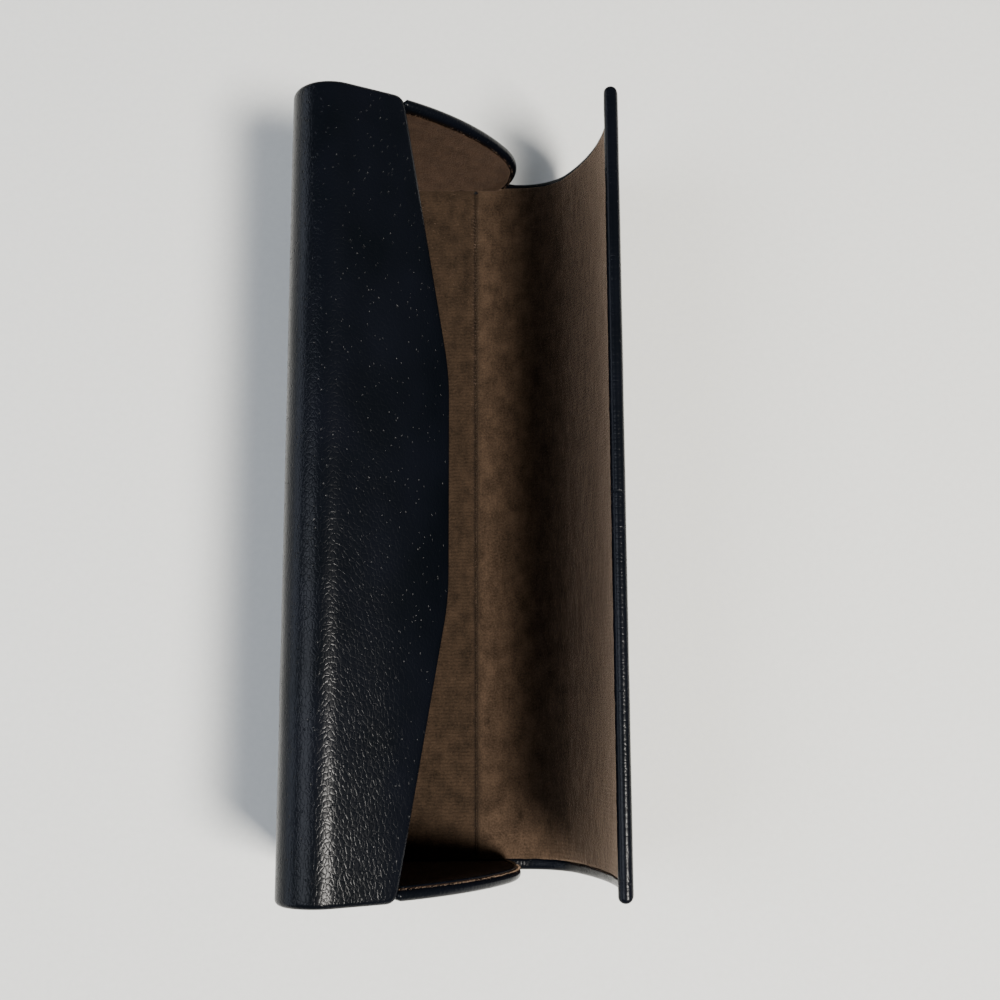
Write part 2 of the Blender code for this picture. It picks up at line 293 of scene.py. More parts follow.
def grid_surface(mesh, rows, cuts, flip=False):
    """Add a grid of points with its cut coordinates as UVs, in metres."""
    layer = mesh.loops.layers.uv.get("cut") or mesh.loops.layers.uv.new("cut")
    verts = [[mesh.verts.new(point) for point in row] for row in rows]
    for i in range(len(rows) - 1):
        for j in range(len(rows[0]) - 1):
            spots = ((i, j), (i + 1, j), (i + 1, j + 1), (i, j + 1))
            if flip:
                spots = spots[::-1]
            face = mesh.faces.new([verts[a][b] for a, b in spots])
            for loop, (a, b) in zip(face.loops, spots):
                loop[layer].uv = cuts[a][b]


def rounded(from_u, from_y, radius):
    """Round a corner of the cut: new distances from the two edges, and the nearest edge."""
    if from_u < radius and from_y < radius:
        a, b = 1 - from_u / radius, 1 - from_y / radius
        a, b = a * sqrt(1 - b * b / 2), b * sqrt(1 - a * a / 2)
        return radius * (1 - a), radius * (1 - b), radius * (1 - sqrt(a * a + b * b))
    return from_u, from_y, min(from_u, from_y)


def fold_depth(edge, radius):
    """Depth of a folded edge below its face, at a distance in from the fold."""
    inward = max(radius - edge, 0.0)
    return radius - sqrt(max(radius * radius - inward * inward, 0.0))


def fold_levels():
    """Distances from a fold at which its round is drawn."""
    return [FOLD_R * (1 - cos(radians(a))) for a in FOLD_ANGLES]


def rim_swell(u):
    """How much the folded leather plumps up each side of the lid's rim."""
    share = min(max(1 - (LID.length - u) / RIM_SWELL_REACH, 0.0), 1.0)
    return RIM_SWELL * share * share * (3 - 2 * share)


# ---------------------------------------------------------------- leather over shell, hinge and lid

def end_hem(u, side):
    """Width of the leather turned in at an end of the case."""
    lid_hem = LID_END_HEM_LEFT if side < 0 else LID_END_HEM_RIGHT
    share = min(max(u / (6 * MM) + 0.5, 0.0), 1.0)
    width = SHELL_END_HEM + (lid_hem - SHELL_END_HEM) * share
    return width + 0.22 * MM * wobble(u, side, 5 * MM, 3.1)


def end_distances(u, side):
    """Distances in from an end fold, the same number at every place along the section."""
    hem = end_hem(u, side)
    return fold_levels() + [(FOLD_R + hem) / 2, hem]


def across(u):
    """Places from one end of the case to the other, as (y, distance from the nearer end)."""
    half = half_length(u)
    low = end_distances(u, -1)
    high = end_distances(u, 1)
    reach = 2 * half - low[-1] - high[-1]
    middle = [-half + low[-1] + reach * i / MIDDLE_STRIPS for i in range(1, MIDDLE_STRIPS)]
    places = [(-1, d) for d in low]
    places += [(0, y) for y in middle]
    places += [(1, d) for d in reversed(high)]
    return places, len(low) - 1, len(low) + len(middle)


def along_levels():
    """Places round the section, as (kind, distance): from the flap's fold, plain, from the lid's fold."""
    marks = [s[0] for s in SHELL.stretches] + [TONGUE_START]
    spacing = [2.0, 1.0, 2.0, 0.8, 1.5]
    plain = []
    for i, step in enumerate(spacing):
        plain += steps(marks[i], marks[i + 1], step * MM)
    levels = [("plain", -u) for u in unique(plain) if u < TONGUE_START - SHARED_FROM - 0.3 * MM]
    flap = fold_levels() + [(FOLD_R + FLAP_HEM) / 2] + steps(FLAP_HEM, FLAP_STRIP, 1.2 * MM)
    shared = [("share", i / 8) for i in range(7, -1, -1)]
    levels = [("flap", d) for d in flap] + shared + levels[::-1]
    lid_marks = [s[0] for s in LID.stretches] + [LID.length - LID_RIM_HEM]
    lid = []
    for i, step in enumerate((0.8, 1.0, 1.6)):
        lid += steps(lid_marks[i], lid_marks[i + 1], step * MM)
    levels += [("plain", u) for u in unique(lid)[1:-1]]
    plump = 1 + RIM_SWELL / FOLD_R
    rim = [plump * d for d in fold_levels()] + [1.8 * MM, LID_RIM_HEM]
    levels += [("rim", d) for d in sorted(set(rim), reverse=True)]
    return levels


def leather_point(kind, distance, side, place, back):
    """A point of the folded leather: its place in space, and its place in the flat cut."""
    if kind == "flap":
        nominal = -TONGUE_START - FLAP_REACH
    elif kind == "rim":
        nominal = LID.length
    else:
        nominal = distance if kind == "plain" else -TONGUE_START
    half = half_length(nominal)
    from_end = place if side else 10 * half
    y = side * (half - place) if side else place
    if kind in ("flap", "rim"):
        radius = FLAP_CORNER_R if kind == "flap" else RIM_CORNER_R
        distance, from_end, edge = rounded(distance, from_end, radius)
        if side:
            y = side * (half - from_end)
        u = -flap_end(y) + distance if kind == "flap" else LID.length - distance
    else:
        edge = from_end
        u = distance
        if kind == "share":
            low = TONGUE_START - SHARED_FROM
            u = -low - (flap_end(y) - FLAP_STRIP - low) * distance
    swell = rim_swell(u)
    depth = fold_depth(edge, FOLD_R + swell) - swell
    puff = 0.05 * MM * wobble(u, y, 9 * MM, 7.7) * min(edge / (4 * MM), 1.0)
    if back:
        depth = WALL - depth
        puff = 0.10 * MM * wobble(u, y, 2.2 * MM, 1.9) * min(edge / FOLD_R, 1.0)
    x, z = section(u, depth + puff)
    run = y + (WALL * side if back else 0.0)
    return Vector((x, y, max(z, 0.0))), (u, run)


def build_case_leather(material):
    """One leather from the flap round the shell and over the hinge to the lid's rim."""
    levels = along_levels()
    in_hem = [d for kind, d in levels if kind == "flap" and d < FLAP_HEM + NET_TOLERANCE]
    first_flap_hem = len(in_hem) - 1
    last_rim = len(levels) - sum(1 for kind, d in levels if kind == "rim")
    mesh = bmesh.new()
    for back in (False, True):
        rows, cuts = [], []
        for kind, distance in levels:
            nominal = {"flap": -TONGUE_START, "rim": LID.length}.get(kind, distance)
            if kind == "share":
                nominal = -TONGUE_START
            places, low, high = across(nominal)
            points = [leather_point(kind, distance, side, place, back) for side, place in places]
            rows.append([p for p, _ in points])
            cuts.append([c for _, c in points])
        if not back:
            grid_surface(mesh, rows, cuts, flip=True)
            continue
        columns = len(rows[0])
        bands = [(0, first_flap_hem, 0, columns - 1), (last_rim, len(rows) - 1, 0, columns - 1),
                 (first_flap_hem, last_rim, 0, low), (first_flap_hem, last_rim, high, columns - 1)]
        for top, bottom, left, right in bands:
            grid_surface(mesh, [r[left:right + 1] for r in rows[top:bottom + 1]],
                         [c[left:right + 1] for c in cuts[top:bottom + 1]])
    obj = make_object("case_leather", mesh, material, LEATHER)
    apply_modifiers(obj)
    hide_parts("shell_cover", "hinge_leather", "lid_cover")
    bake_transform(obj)


# ---------------------------------------------------------------- suede linings

def ragged(u, y, seed):
    """How far a cut edge of suede strays, with its fibres."""
    return MM * (0.16 * wobble(u, y, 3 * MM, seed) + 0.14 * wobble(u, y, 0.8 * MM, seed + 5))


def fray(obj, places, material, seed):
    """Short loose fibres standing out of a cut suede edge, a few at each (root, away, up, cut)."""
    draw = Random(seed)
    obj.data.materials.append(material)
    mesh = bmesh.new()
    mesh.from_mesh(obj.data)
    layer = mesh.loops.layers.uv["cut"]
    for root, away, up, cut in places:
        along = away.cross(up)
        for _ in range(FIBRES_AT_A_PLACE):
            start = root + along * draw.uniform(-0.3, 0.3) * MM - up * 0.03 * MM
            aim = away + along * draw.uniform(-0.8, 0.8) + up * draw.uniform(-0.1, 0.8)
            tip = start + aim.normalized() * FIBRE_LENGTH * draw.uniform(0.25, 1.0)
            half = along * FIBRE_WIDTH / 2
            spots = (start - half, start + half, start + up * FIBRE_WIDTH, tip)
            a, b, c, d = [mesh.verts.new(spot) for spot in spots]
            for corners in ((a, c, b), (a, b, d), (b, c, d), (c, a, d)):
                face = mesh.faces.new(corners)
                face.material_index = 1
                for loop in face.loops:
                    loop[layer].uv = cut
    mesh.to_mesh(obj.data)
    mesh.free()


def lining_surface(name, start, stop, ends, material, spacing, creased=False, fibres=None):
    """Suede glued to the inside of the wall between two places round the section.

    start and stop are functions of y; ends are the half lengths at the left and right.
    A creased piece starts tucked down into the crease. fibres is the frayed edges' material, a paler copy
    of the suede painted to stand in for the light that catches them.
    """
    reach = abs(stop(0) - start(0))
    count = max(4, round(reach / spacing))
    ys = [-ends[0] + d for d in EDGE_STEPS]
    ys += steps(-ends[0] + EDGE_BAND, ends[1] - EDGE_BAND, 0.62 * MM)
    ys += [ends[1] - d for d in EDGE_STEPS[::-1]]
    mesh = bmesh.new()
    rows, cuts, ups = [], [], []
    inner_reach = reach - 2 * EDGE_BAND
    inner = [EDGE_BAND + inner_reach * i / count for i in range(count + 1)]
    for from_start in EDGE_STEPS + inner + [reach - d for d in EDGE_STEPS[::-1]]:
        row, cut, up = [], [], []
        share = from_start / reach
        for y in ys:
            low, high = start(y), stop(y)
            way = 1 if high > low else -1
            edge_u = min(from_start, reach - from_start)
            if from_start <= EDGE_BAND:
                u = low + from_start * way
            elif reach - from_start <= EDGE_BAND:
                u = high - (reach - from_start) * way
            else:
                inner_low = low + EDGE_BAND * way
                inner_high = high - EDGE_BAND * way
                u = inner_low + (inner_high - inner_low) * (from_start - EDGE_BAND) / inner_reach
            from_end = min(y + ends[0], ends[1] - y)
            tucked = creased and share < 0.5
            _, _, edge = rounded(edge_u, from_end, SUEDE_CORNER_R)
            if tucked:
                edge = from_end
            free = max(0.0, 1 - edge / SUEDE_EDGE_REACH)
            spot_y = y
            if from_end < EDGE_STEPS[1] / 2:
                spot_y += (1 if y > 0 else -1) * ragged(u, 0, 2.0 + (y > 0))
            if edge_u < EDGE_STEPS[1] / 2 and not tucked:
                u += ragged(0, y, 9.0) * (1 if share > 0.5 else -1)
            raised = SUEDE_PROUD - SUEDE_EDGE_DROP * free * free
            raised += 0.07 * MM * wobble(u, y, 6 * MM, 4.4) + 0.03 * MM * wobble(u, y, 1.7 * MM, 6.6)
            if creased:
                depth = CREASE_DEPTH * min(1.0, from_end / CREASE_FADE)
                raised -= depth * exp(-(from_start / CREASE_HALF_WIDTH) ** 2)
                if high < low:
                    ridge = (from_start - CREASE_RIDGE_AT) / CREASE_RIDGE_HALF_WIDTH
                    raised += CREASE_RIDGE * exp(-ridge ** 2)
            x, z = section(u, WALL + raised)
            row.append(Vector((x, spot_y, z)))
            cut.append((u, spot_y))
            above_x, above_z = section(u, WALL + raised + MM)
            up.append(Vector((above_x - x, 0, above_z - z)).normalized())
        rows.append(row)
        cuts.append(cut)
        ups.append(up)
    grid_surface(mesh, rows, cuts, flip=stop(0) < start(0))
    obj = make_object(name, mesh, material, SUEDE)
    apply_modifiers(obj)
    if fibres:
        last = len(ys) - 1
        places = [(rows[-1][j], (rows[-1][j] - rows[-4][j]).normalized(), ups[-1][j], cuts[-1][j])
                  for j in range(2, last - 1)]
        for i in range(3, len(rows) - 2):
            for end, inner_end in ((0, 3), (last, last - 3)):
                away = (rows[i][end] - rows[i][inner_end]).normalized()
                places.append((rows[i][end], away, ups[i][end], cuts[i][end]))
        fray(obj, places, fibres, 7)
    return obj


def build_linings(material, base_material, fibres):
    """The lid's suede, which runs over the hinge to the crease, and the base's and the back wall's."""
    crease_u = CREASE_X - HINGE_X
    corner_u = SHELL_LOW.x + LOW_CORNER_R - HINGE_X
    shell_half = LINING_HIGH.y + 1.0 * MM

    lid = lining_surface("lid_suede", lambda y: crease_u + 0.04 * MM,
                         lambda y: LID.length - LID_RIM_HEM + 0.25 * MM,
                         (LID_HALF_LENGTH - LID_END_HEM_LEFT + 0.2 * MM,
                          LID_HALF_LENGTH - LID_END_HEM_RIGHT + 0.2 * MM),
                         material, 1.1 * MM, creased=True, fibres=fibres)
    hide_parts("lid_lining", "hinge_lining")
    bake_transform(lid)

    base = lining_surface("base_suede", lambda y: crease_u - 0.04 * MM, lambda y: corner_u,
                          (shell_half, shell_half), base_material, 1.4 * MM, creased=True)
    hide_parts("base_lining")
    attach(base, "case")

    wall = lining_surface("wall_suede", lambda y: corner_u - 0.1 * MM,
                          lambda y: -(flap_end(y) - FLAP_HEM + 0.2 * MM),
                          (shell_half, shell_half), material, 1.2 * MM)
    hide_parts("wall_lining")
    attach(wall, "case")


# ---------------------------------------------------------------- end panels

def evenly(start, end, count):
    """Values from start up to, not including, end."""
    return [start + (end - start) * i / count for i in range(count)]


def panel_ring(edge_in, back_in):
    """The end panel's outline in section, clockwise from its foot, drawn in from its real edge.

    edge_in gives the distance along the free edge, from 0 at the flap to 1 at the foot;
    back_in is the distance where the panel stands inside the shell.
    """
    centre_x, centre_z, tongue_r = TONGUE_ARC
    free_from = (flap_end(PANEL_HIGH.y - WALL) - TONGUE_START + PANEL_FROM_FLAP) / tongue_r
    slope = FLAP_SLOPE + free_from + edge_in(0) / tongue_r
    depth = PANEL_INSIDE + back_in
    front_x = PANEL_HIGH.x - PANEL_FRONT_R
    meeting = asin((front_x - centre_x) / (tongue_r - PANEL_FRONT_R))
    front_z = centre_z + (tongue_r - PANEL_FRONT_R) * cos(meeting)
    foot = acos((depth - front_z) / (PANEL_FRONT_R - edge_in(1)))
    foot_x = front_x + (PANEL_FRONT_R - edge_in(1)) * sin(foot)

    marks = [s[0] for s in SHELL.stretches]
    flap_stop = TONGUE_START + tongue_r * (slope - FLAP_SLOPE)
    spans = ((HINGE_X - foot_x, marks[1], 26), (marks[1], marks[2], 12), (marks[2], marks[3], 12),
             (marks[3], marks[4], 16), (marks[4], TONGUE_START, 8), (TONGUE_START, flap_stop, 6))
    points = [SHELL.at(u, depth) for span in spans for u in evenly(*span)]
    points.append(SHELL.at(flap_stop, depth))
    for angle in evenly(slope, meeting, 60):
        share = PANEL_TOP_SHARE * (angle - slope) / (meeting - slope)
        radius = tongue_r - edge_in(share)
        points.append((centre_x + radius * sin(angle), centre_z + radius * cos(angle)))
    for angle in evenly(meeting, foot, 44):
        share = PANEL_TOP_SHARE + (1 - PANEL_TOP_SHARE) * (angle - meeting) / (foot - meeting)
        radius = PANEL_FRONT_R - edge_in(share)
        points.append((front_x + radius * sin(angle), front_z + radius * cos(angle)))
    return points


def skin_rings(mesh, rings):
    """Skin closed rings of (point, cut), one to the next, and return the last ring's vertices."""
    layer = mesh.loops.layers.uv.get("cut") or mesh.loops.layers.uv.new("cut")
    loops = [[(mesh.verts.new(point), cut) for point, cut in ring] for ring in rings]
    for first, second in zip(loops, loops[1:]):
        for i in range(len(first)):
            j = (i + 1) % len(first)
            corners = (first[i], first[j], second[j], second[i])
            face = mesh.faces.new([vert for vert, _ in corners])
            for loop, (_, cut) in zip(face.loops, corners):
                loop[layer].uv = cut
    return loops[0], loops[-1]


def fill_ring(mesh, ring, spacing, place):
    """Close a ring with an even net of small triangles, each inner point put where place says."""
    layer = mesh.loops.layers.uv["cut"]
    outline = [Vector(cut) / MM for _, cut in ring]
    count = len(outline)
    net = []
    low = [min(p[k] for p in outline) for k in (0, 1)]
    high = [max(p[k] for p in outline) for k in (0, 1)]
    for row in range(int((high[1] - low[1]) / spacing) + 1):
        for column in range(int((high[0] - low[0]) / spacing) + 1):
            spot = Vector((low[0] + (column + 0.5 * (row % 2)) * spacing, low[1] + row * spacing))
            if inside_ring(spot, outline) and min((spot - p).length for p in outline) > 0.7 * spacing:
                net.append(spot)
    edges = [(i, (i + 1) % count) for i in range(count)]
    spots, _, faces, origins, _, _ = delaunay_2d_cdt(outline + net, edges, [], 1, 1e-4)
    verts = []
    for spot, origin in zip(spots, origins):
        known = [i for i in origin if i < count]
        verts.append(ring[known[0]][0] if known else mesh.verts.new(place(spot * MM)))
    for corners in faces:
        if len({verts[i] for i in corners}) < 3:
            continue
        face = mesh.faces.new([verts[i] for i in corners])
        for loop, i in zip(face.loops, corners):
            loop[layer].uv = spots[i] * MM


def inside_ring(spot, outline):
    """Whether a spot lies inside a closed outline."""
    within = False
    for a, b in zip(outline, outline[1:] + outline[:1]):
        if (a.y > spot.y) != (b.y > spot.y):
            if spot.x < a.x + (b.x - a.x) * (spot.y - a.y) / (b.y - a.y):
                within = not within
    return within


def face_outwards(mesh, way):
    """Turn an open surface so that its middle faces +Y or -Y."""
    bmesh.ops.remove_doubles(mesh, verts=mesh.verts, dist=NET_TOLERANCE)
    bmesh.ops.recalc_face_normals(mesh, faces=mesh.faces)
    mesh.faces.ensure_lookup_table()
    if mesh.faces[-1].normal.y * way < 0:
        bmesh.ops.reverse_faces(mesh, faces=mesh.faces)


def build_end_panel(side, sign, leather, suede, fibres):
    """An end panel: leather over the outside and turned in all round, suede set inside that rim."""
    face_y = PANEL_HIGH.y
    hem_at_flap, hem_at_foot = PANEL_HEMS[side]

    def panel_hem(share):
        return hem_at_flap + (hem_at_foot - hem_at_flap) * share

    def ring(points, depth):
        return [(Vector((x, sign * (face_y - depth), z)), (x, z)) for x, z in points]

    def swollen(spot):
        swell = 0.06 * MM * wobble(spot.x, spot.y, 8 * MM, 2.2 + sign)
        return Vector((spot.x, sign * (face_y - abs(swell)), spot.y))

    mesh = bmesh.new()
    rings = [ring(panel_ring(panel_hem, hem_at_foot), WALL)]
    for angle in (-90, -75, -60, -45, -30, -15, 0, 15, 30, 45, 60, 75, 90):
        distance = FOLD_R * (1 - cos(radians(angle)))
        folded = panel_ring(lambda share: distance, distance)
        rings.append(ring(folded, FOLD_R - FOLD_R * sin(radians(angle))))
    _, face_ring = skin_rings(mesh, rings)
    fill_ring(mesh, face_ring, 1.6, swollen)
    face_outwards(mesh, sign)
    cover = make_object("panel_leather_" + side, mesh, leather, LEATHER)
    apply_modifiers(cover)
    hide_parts("end_panel_cover_" + side)
    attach(cover, "case")

    def ragged_edge(extra):
        return lambda share: panel_hem(share) + extra * MM + ragged(share * 52 * MM, sign, 12.0)

    def napped(spot):
        nap = 0.10 * MM * wobble(spot.x, spot.y, 6 * MM, 3.3 + sign)
        nap += 0.04 * MM * wobble(spot.x, spot.y, 1.7 * MM, 5.3 + sign)
        return Vector((spot.x, sign * (face_y - WALL - SUEDE_PROUD - nap), spot.y))

    mesh = bmesh.new()
    rings = []
    for extra, drop in ((-0.25, 0.3), (-0.15, 0.14), (0.0, 0.04), (0.25, 0.0)):
        outline = panel_ring(ragged_edge(extra), extra * MM)
        rings.append(ring(outline, WALL + SUEDE_PROUD - drop * MM))
    _, nap_ring = skin_rings(mesh, rings)
    fill_ring(mesh, nap_ring, 0.9, napped)
    face_outwards(mesh, -sign)
    lining = make_object("panel_suede_" + side, mesh, suede, SUEDE)
    apply_modifiers(lining)
    places = []
    for (edge, cut), (within, _) in zip(rings[0], rings[3]):
        away = Vector((edge.x - within.x, 0, edge.z - within.z)).normalized()
        places.append((edge, away, Vector((0, -sign, 0)), cut))
    fray(lining, places, fibres, 20 + sign)
    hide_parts("end_panel_lining_" + side)
    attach(lining, "case")


# ---------------------------------------------------------------- materials

def colour(code):
    """An sRGB hex value as linear RGBA."""
    channels = [int(code[i:i + 2], 16) / 255 for i in (1, 3, 5)]
    linear = [c / 12.92 if c <= 0.04045 else ((c + 0.055) / 1.055) ** 2.4 for c in channels]
    return (*linear, 1.0)


def new_material(name):
    material = bpy.data.materials.new(name)
    material.use_nodes = True
    return material, material.node_tree, material.node_tree.nodes["Principled BSDF"]


def add(tree, kind, settings=None, **links):
    """Add a node: settings are its properties and plain inputs, links are inputs from sockets."""
    node = tree.nodes.new("ShaderNode" + kind)
    for key, value in (settings or {}).items():
        if isinstance(key, str) and hasattr(node, key):
            setattr(node, key, value)
        else:
            node.inputs[key].default_value = value
    for key, source in links.items():
        target = node.inputs[int(key[1:]) if key[0] == "_" else key.replace("_", " ")]
        tree.links.new(source, target)
    return node


def ramp(tree, source, stops):
    node = add(tree, "ValToRGB", _0=source)
    elements = node.color_ramp.elements
    while len(elements) < len(stops):
        elements.new(0.5)
    for element, (position, code) in zip(elements, stops):
        element.position = position
        element.color = colour(code) if isinstance(code, str) else (code, code, code, 1.0)
    return node.outputs["Color"]


def cut_coordinates(tree, scale):
    """The piece's flat cut, in metres, scaled to features of a real size."""
    uv = add(tree, "UVMap", {"uv_map": "cut"})
    scaled = add(tree, "Mapping", {"Scale": (scale[0], scale[1], 1.0)}, Vector=uv.outputs["UV"])
    return scaled.outputs["Vector"]


def finish_bump(tree, shader, heights):
    """Stack bumps of given depth in metres on a shader."""
    normal = None
    for height, depth in heights:
        bump = add(tree, "Bump", {"Strength": 1.0, "Distance": depth}, Height=height)
        if normal is not None:
            tree.links.new(normal, bump.inputs["Normal"])
        normal = bump.outputs["Normal"]
    tree.links.new(normal, shader.inputs["Normal"])


def pebbled_leather():
    """Black full-grain leather, dyed, pressed with a fine pebble and sealed with a satin lacquer.

    The pebbles are about 0.8 mm by 1.05 mm, with creases between them that break up the light
    along the edges of the case. Hair holes about 1.5 mm apart stay duller than the lacquer
    round them, so they show as sparse pale dots in the dark and as pits where light falls flat.
    """
    material, tree, shader = new_material("pebbled_black_leather")
    grain = cut_coordinates(tree, (1 / (0.80 * MM), 1 / (1.05 * MM)))
    warp = add(tree, "TexNoise", {"Scale": 0.8, "Detail": 2.0}, Vector=grain)
    bent = add(tree, "VectorMath", {"operation": "MULTIPLY_ADD", 1: (0.7, 0.7, 0.0)},
               _0=warp.outputs["Color"], _2=grain)
    creases = add(tree, "TexVoronoi", {"feature": "DISTANCE_TO_EDGE", "Scale": 1.0},
                  Vector=bent.outputs["Vector"])
    pebble = ramp(tree, creases.outputs["Distance"], ((0.0, 0.0), (0.10, 0.6), (0.26, 1.0)))
    hair_holes = add(tree, "TexVoronoi", {"feature": "F1", "Scale": 0.62}, Vector=bent.outputs["Vector"])
    hole = ramp(tree, hair_holes.outputs["Distance"], ((0.09, 0.0), (0.19, 1.0)))
    pores = add(tree, "TexNoise", {"Scale": 3.2, "Detail": 3.0, "Roughness": 0.6}, Vector=grain)
    wrinkle = add(tree, "TexNoise", {"Scale": 0.16, "Detail": 2.0}, Vector=grain)

    tone = add(tree, "TexNoise", {"Scale": 0.05, "Detail": 2.0}, Vector=grain)
    dye = ramp(tree, tone.outputs["Fac"], ((0.35, "#05070b"), (0.65, "#080a10")))
    tree.links.new(dye, shader.inputs["Base Color"])
    gloss = ramp(tree, hole, ((0.0, 0.46), (1.0, 0.25)))
    tree.links.new(gloss, shader.inputs["Roughness"])
    shader.inputs["IOR"].default_value = 1.45
    shader.inputs["Specular IOR Level"].default_value = 0.12
    finish_bump(tree, shader, ((wrinkle.outputs["Fac"], 0.08 * MM), (pebble, 0.022 * MM),
                               (hole, 0.075 * MM), (pores.outputs["Fac"], 0.005 * MM)))
    return material


def microsuede(name, deep, light, ribs, sheen, sheen_tint, crease=False):
    """Brown polyester microsuede: a knitted ground with a short brushed nap.

    The nap lies in patches a few millimetres across, darker or lighter by the way it was
    stroked; the fibre tufts are drawn at about 0.4 mm, coarser than real ones, so that they show.
    deep and light are the nap lying away and towards, ribs is how deep the knit shows through in
    metres, and sheen is how much the fibre ends light up when seen along the surface. With crease
    set, the colour is darkened along the crease as painted shade, standing in for the shade in its
    groove.
    """
    material, tree, shader = new_material(name)
    flat = cut_coordinates(tree, (1 / MM, 1 / MM))
    patches = add(tree, "TexNoise", {"Scale": 0.24, "Detail": 3.0, "Roughness": 0.55}, Vector=flat)
    long_way = add(tree, "Mapping", {"Scale": (0.9, 0.35, 1.0)}, Vector=flat)
    strokes = add(tree, "TexNoise", {"Scale": 0.5, "Detail": 4.0, "Roughness": 0.7},
                  Vector=long_way.outputs["Vector"])
    tufts = add(tree, "TexNoise", {"Scale": 2.4, "Detail": 3.0, "Roughness": 0.75}, Vector=flat)
    fine = add(tree, "TexNoise", {"Scale": 7.0, "Detail": 2.0, "Roughness": 0.6}, Vector=flat)
    knit = add(tree, "TexWave", {"wave_type": "BANDS", "bands_direction": "Y", "Scale": 0.38,
                                 "Distortion": 3.0, "Detail": 2.0, "Detail Scale": 1.6}, Vector=flat)

    blend = add(tree, "Mix", {"data_type": "FLOAT", 0: 0.5}, _2=patches.outputs["Fac"],
                _3=strokes.outputs["Fac"])
    blend = add(tree, "Mix", {"data_type": "FLOAT", 0: 0.45}, _2=blend.outputs[0],
                _3=tufts.outputs["Fac"])
    shade = ramp(tree, blend.outputs[0], ((0.37, deep), (0.63, light)))
    # Painted shade along the crease: the colour is multiplied by 0.45 within 0.25 mm of it, rising to
    # full by 0.7 mm.
    if crease:
        across_cut = add(tree, "SeparateXYZ", _0=flat).outputs["X"]
        beside = add(tree, "Math", {"operation": "SUBTRACT", 1: (CREASE_X - HINGE_X) / MM}, _0=across_cut)
        distance = add(tree, "Math", {"operation": "ABSOLUTE"}, _0=beside.outputs[0])
        painted_crease_shade = ramp(tree, distance.outputs[0], ((0.25, 0.45), (0.70, 1.0)))
        shade = add(tree, "Mix", {"data_type": "RGBA", "blend_type": "MULTIPLY", 0: 1.0},
                    _6=shade, _7=painted_crease_shade).outputs[2]
    tree.links.new(shade, shader.inputs["Base Color"])
    shader.inputs["Roughness"].default_value = 0.95
    shader.inputs["Specular IOR Level"].default_value = 0.1
    shader.inputs["Sheen Weight"].default_value = sheen
    shader.inputs["Sheen Roughness"].default_value = 0.35
    shader.inputs["Sheen Tint"].default_value = colour(sheen_tint)
    finish_bump(tree, shader, ((strokes.outputs["Fac"], 0.25 * MM), (knit.outputs["Fac"], ribs),
                               (tufts.outputs["Fac"], 0.16 * MM), (fine.outputs["Fac"], 0.05 * MM)))
    return material


def fibre_board():
    """Grey-brown pressed fibre board: long pulp fibres rolled flat, matt, with darker specks."""
    material, tree, shader = new_material("pressed_fibre_board")
    spot = add(tree, "TexCoord").outputs["Object"]
    pulp = add(tree, "TexNoise", {"Scale": 900.0, "Detail": 5.0, "Roughness": 0.7}, Vector=spot)
    shade = ramp(tree, pulp.outputs["Fac"], ((0.3, "#57493a"), (0.7, "#7d6c58")))
    tree.links.new(shade, shader.inputs["Base Color"])
    shader.inputs["Roughness"].default_value = 0.9
    finish_bump(tree, shader, ((pulp.outputs["Fac"], 0.03 * MM),))
    return material


def nickel_plate(name, low, high, roughness):
    """Nickel-plated steel: a bright thin plating over a ground blank, faintly brushed."""
    material, tree, shader = new_material(name)
    spot = add(tree, "TexCoord").outputs["Object"]
    brushed = add(tree, "Mapping", {"Scale": (400.0, 6000.0, 400.0)}, Vector=spot)
    lines = add(tree, "TexNoise", {"Scale": 1.0, "Detail": 3.0}, Vector=brushed.outputs["Vector"])
    shade = ramp(tree, lines.outputs["Fac"], ((0.3, low), (0.7, high)))
    tree.links.new(shade, shader.inputs["Base Color"])
    shader.inputs["Metallic"].default_value = 1.0
    shader.inputs["Roughness"].default_value = roughness
    finish_bump(tree, shader, ((lines.outputs["Fac"], 0.004 * MM),))
    return material


def paper_backdrop():
    """Pale grey seamless paper, matt, with a hardly visible tooth."""
    material, tree, shader = new_material("seamless_paper")
    spot = add(tree, "TexCoord").outputs["Object"]
    tooth = add(tree, "TexNoise", {"Scale": 700.0, "Detail": 3.0}, Vector=spot)
    shade = ramp(tree, tooth.outputs["Fac"], ((0.3, "#d6d7d4"), (0.7, "#dadbd8")))
    tree.links.new(shade, shader.inputs["Base Color"])
    shader.inputs["Roughness"].default_value = 0.85
    return material


def dress_cad_nodes():
    """The pieces hidden in the walls keep their CAD shape and take a real finish."""
    board = fibre_board()
    magnet = nickel_plate("nickel_plated_magnet", "#a9a9a6", "#c9c9c4", 0.22)
    keeper = nickel_plate("zinc_plated_keeper", "#8f9396", "#b2b6b8", 0.38)
    for name, node in frame["nodes"].items():
        if "board" in name:
            node.data.materials.clear()
            node.data.materials.append(board)
        elif "magnet" in name or "keeper" in name:
            node.data.materials.clear()
            node.data.materials.append(magnet if "magnet" in name else keeper)


# ---------------------------------------------------------------- camera, floor and light

def build_camera():
    """Almost straight above the case, a little towards its left end."""
    data = bpy.data.cameras.new("camera")
    data.lens = 45.0
    data.sensor_width = 36.0
    camera = bpy.data.objects.new("camera", data)
    about_x, about_y, about_z = [radians(degrees) for degrees in CAMERA_TURN]
    turn = (Matrix.Rotation(about_z, 4, "Z") @ Matrix.Rotation(about_y, 4, "Y")
            @ Matrix.Rotation(about_x, 4, "X"))
    camera.matrix_world = Matrix.Translation(CAMERA_PLACE) @ turn
    bpy.context.collection.objects.link(camera)
    bpy.context.scene.camera = camera


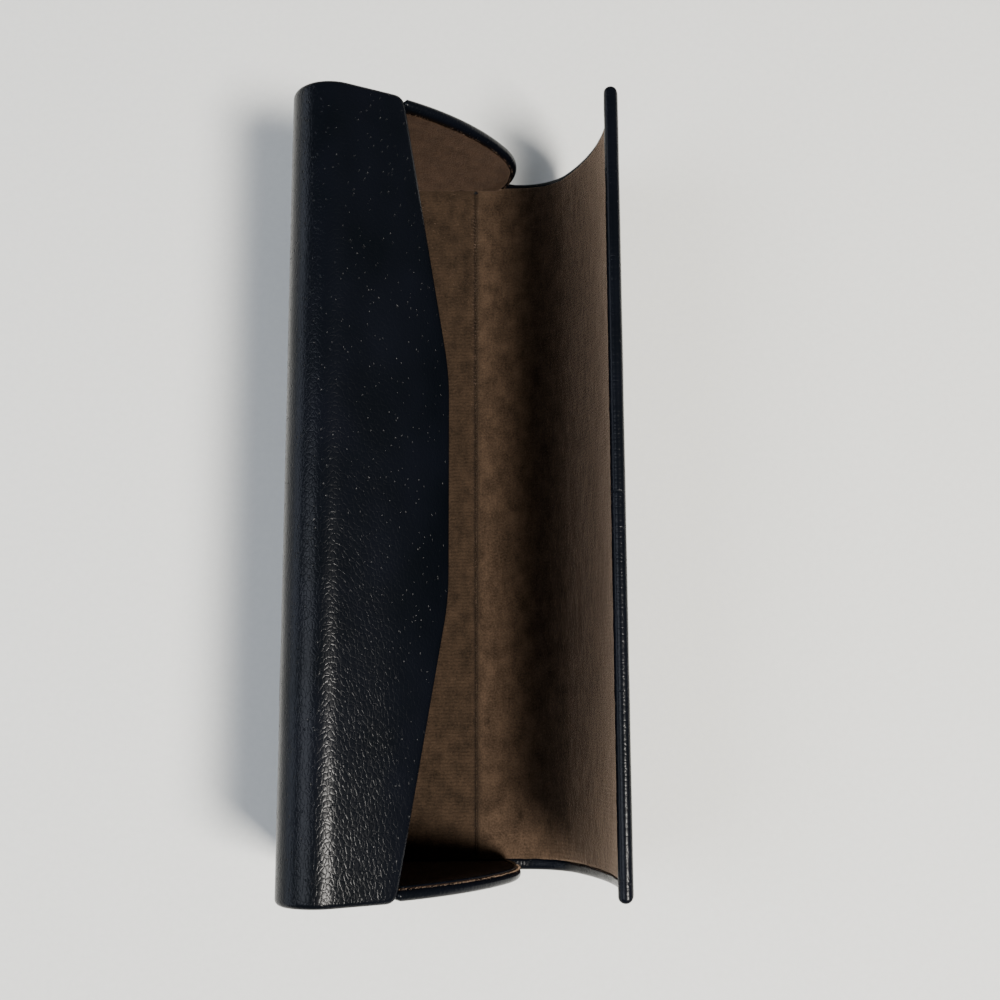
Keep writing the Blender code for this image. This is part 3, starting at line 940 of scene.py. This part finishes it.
def build_floor(material):
    mesh = bmesh.new()
    half = FLOOR_HALF
    for x, y in ((-half, -half), (half, -half), (half, half), (-half, half)):
        mesh.verts.new((x, y, 0.0))
    mesh.faces.new(mesh.verts)
    data = bpy.data.meshes.new("floor")
    mesh.to_mesh(data)
    mesh.free()
    data.materials.append(material)
    floor = bpy.data.objects.new("floor", data)
    bpy.context.collection.objects.link(floor)


def area_light(name, place, target, size, watts, tint):
    """A rectangular soft light at a place, turned towards a target."""
    data = bpy.data.lights.new(name, "AREA")
    data.shape = "RECTANGLE"
    data.size, data.size_y = size
    data.energy = watts
    data.color = colour(tint)[:3]
    lamp = bpy.data.objects.new(name, data)
    aim = Vector(target) - Vector(place)
    lamp.matrix_world = Matrix.Translation(place) @ aim.to_track_quat("-Z", "Y").to_matrix().to_4x4()
    bpy.context.collection.objects.link(lamp)


def build_light():
    """A dim room for fill, seen as pale as the floor, and the lights."""
    world = bpy.data.worlds.new("studio")
    world.use_nodes = True
    background = world.node_tree.nodes["Background"]
    background.inputs["Color"].default_value = colour("#d8dde0")
    ray = add(world.node_tree, "LightPath").outputs["Is Camera Ray"]
    levels = {"data_type": "FLOAT", 2: ROOM_STRENGTH, 3: SEEN_ROOM_STRENGTH}
    level = add(world.node_tree, "Mix", levels, _0=ray)
    world.node_tree.links.new(level.outputs[0], background.inputs["Strength"])
    bpy.context.scene.world = world
    for light in LIGHTS:
        area_light(*light)


build_camera()
build_floor(paper_backdrop())
build_light()
leather = pebbled_leather()

# One suede drawn as lit and shaded copies, with painted light and shade for how light falls on each:
# the lid's is coloured lighter and brushed hard, with a full warm sheen; the base's and the end panels'
# are coloured darker. The base's shows its knit, the end panels' shows none and has little sheen. The
# cut edges' loose fibres are a paler copy still, painted light for the light that catches them.
lid_suede = microsuede("brushed_microsuede", "#1f1710", "#504033", 0.035 * MM, 1.0, "#ffdcbc",
                       crease=True)
# Painted shade: the base's copy is coloured darker than the lid's.
base_suede = microsuede("ribbed_microsuede", "#17110b", "#3c2f24", 0.11 * MM, 0.7, "#a98d7b", crease=True)
# Painted shade: the end panels' copy is coloured darker than the lid's.
panel_suede = microsuede("flat_microsuede", "#18110b", "#403025", 0.0, 0.25, "#a98d7b")
build_case_leather(leather)
# Painted light: a paler copy of the suede with full sheen for the loose fibres, standing in for the light
# that catches them.
painted_light_fibre_suede = microsuede("cut_suede_edge", "#66503f", "#a58c76", 0.0, 1.0, "#e0c8b4")

build_linings(lid_suede, base_suede, painted_light_fibre_suede)
for side, sign in (("left", -1), ("right", 1)):
    build_end_panel(side, sign, leather, panel_suede, painted_light_fibre_suede)
dress_cad_nodes()
